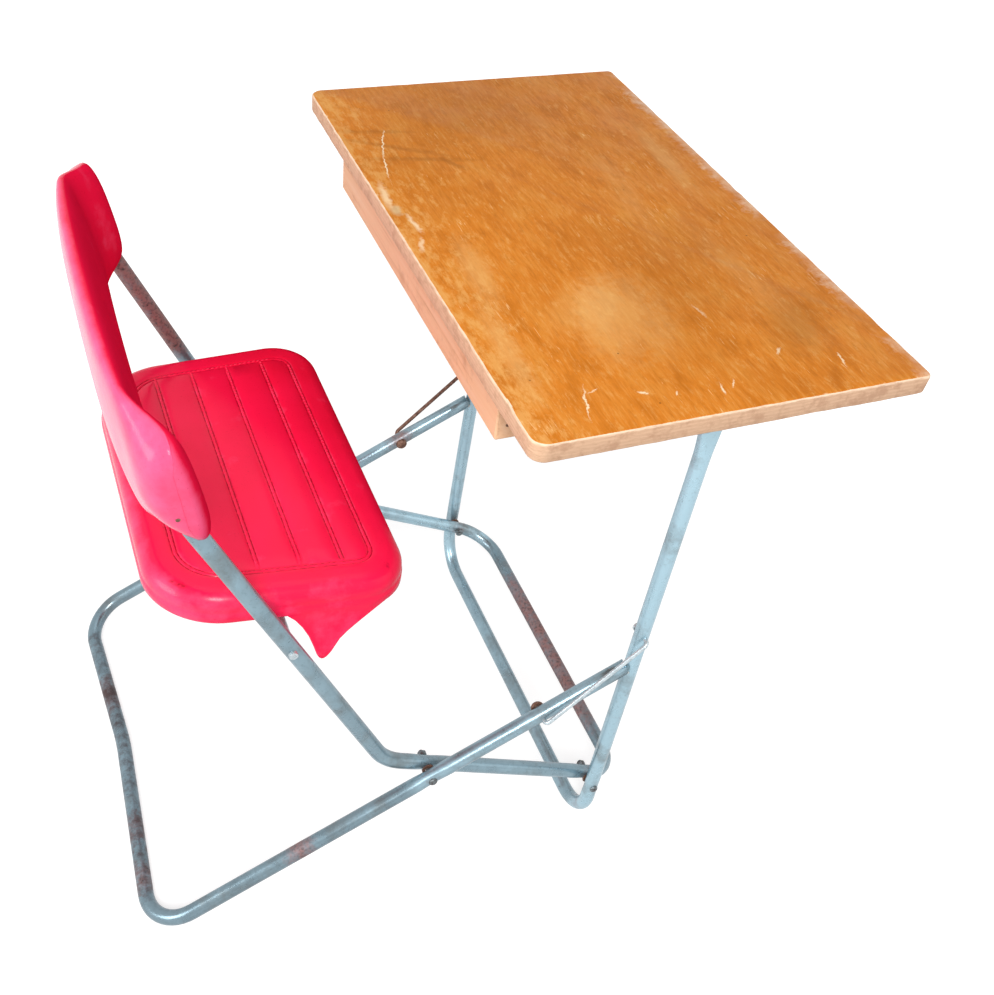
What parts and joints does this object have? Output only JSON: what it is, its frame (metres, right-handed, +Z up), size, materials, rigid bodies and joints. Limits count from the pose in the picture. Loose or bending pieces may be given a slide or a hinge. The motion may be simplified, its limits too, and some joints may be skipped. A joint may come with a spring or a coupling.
{
  "type": "folding children's desk",
  "caption": "Folding school desk for a child: a moulded seat and backrest and a varnished wooden top on U-bent steel tubes that fold flat on pivots and wire links.",
  "frame": {"origin": "middle of the object's footprint, on the floor", "axes": "+X the way the child looks, +Y the child's left, +Z up"},
  "size_m": [0.64, 0.6, 0.6708],
  "materials": {
    "zinc_plated_tube": "dull zinc plating, scuffed and rusty in places",
    "bright_steel": "worn bright steel",
    "rusty_steel": "brown rust",
    "red_plastic": "moulded, semi-gloss",
    "pale_plastic": "moulded, matte",
    "varnished_board": "amber varnish, worn",
    "bare_wood": "planed, bare"
  },
  "bodies": {
    "seat_frame": {"seat_frame_tube": "zinc_plated_tube", "seat_shell": "red_plastic", "seat_rod": "bright_steel", "seat_rod_cap_right": "bright_steel", "seat_rod_cap_left": "bright_steel", "backrest_shell": "red_plastic", "backrest_screw_right": "bright_steel", "backrest_screw_left": "bright_steel", "rear_pivot_bolt_right": "bright_steel", "rear_pivot_bolt_left": "bright_steel", "rear_pivot_nut_right": "bright_steel", "rear_pivot_nut_left": "bright_steel", "rear_pivot_washer_right": "bright_steel", "rear_pivot_washer_left": "bright_steel", "front_pivot_bolt_right": "bright_steel", "front_pivot_bolt_left": "bright_steel", "front_pivot_nut_right": "bright_steel", "front_pivot_nut_left": "bright_steel", "front_pivot_washer_right": "bright_steel", "front_pivot_washer_left": "bright_steel"},
    "rear_frame": {"rear_frame_tube": "zinc_plated_tube", "arm_end_plug_right": "pale_plastic", "arm_end_plug_left": "pale_plastic", "link_cap_right": "rusty_steel", "link_cap_left": "rusty_steel"},
    "desk_frame": {"desk_frame_tube": "zinc_plated_tube", "link_stud_right": "rusty_steel", "link_stud_left": "rusty_steel"},
    "desk": {"desk_top": "varnished_board", "desk_apron": "bare_wood", "desk_rail_right": "bare_wood", "desk_rail_left": "bare_wood", "desk_stop_peg_right": "bright_steel", "desk_stop_peg_left": "bright_steel", "desk_pivot_bolt_right": "bright_steel", "desk_pivot_bolt_left": "bright_steel", "desk_pivot_nut_right": "bright_steel", "desk_pivot_nut_left": "bright_steel"},
    "link_right": {"link_wire_right": "bright_steel"},
    "link_left": {"link_wire_left": "rusty_steel"}
  },
  "joints": [
    {"name": "rear_fold", "type": "hinge", "parent": "seat_frame", "child": "rear_frame", "pos_m": [-0.03029, 0, 0.16673], "axis": [0, -1, 0], "range_deg": [0, 88]},
    {"name": "desk_fold", "type": "hinge", "parent": "seat_frame", "child": "desk_frame", "pos_m": [0.17237, 0, 0.07352], "axis": [0, -1, 0], "range_deg": [0, 32]},
    {"name": "desk_tilt", "type": "hinge", "parent": "desk_frame", "child": "desk", "pos_m": [0.17813, 0, 0.62389], "axis": [0, 1, 0], "range_deg": [0, 88]},
    {"name": "link_right_swing", "type": "hinge", "parent": "rear_frame", "child": "link_right", "pos_m": [0.08144, -0.2405, 0.22918], "axis": [0, -1, 0], "range_deg": [-131, 0]},
    {"name": "link_left_swing", "type": "hinge", "parent": "rear_frame", "child": "link_left", "pos_m": [0.08144, 0.2405, 0.22918], "axis": [0, -1, 0], "range_deg": [-131, 0]}
  ],
  "couplings": [
    {"joint": "desk_fold", "follows": "rear_fold", "ratio": 0.3584},
    {"joint": "desk_tilt", "follows": "rear_fold", "ratio": 0.9886},
    {"joint": "link_right_swing", "follows": "rear_fold", "ratio": -1.4773},
    {"joint": "link_left_swing", "follows": "rear_fold", "ratio": -1.4773}
  ]
}
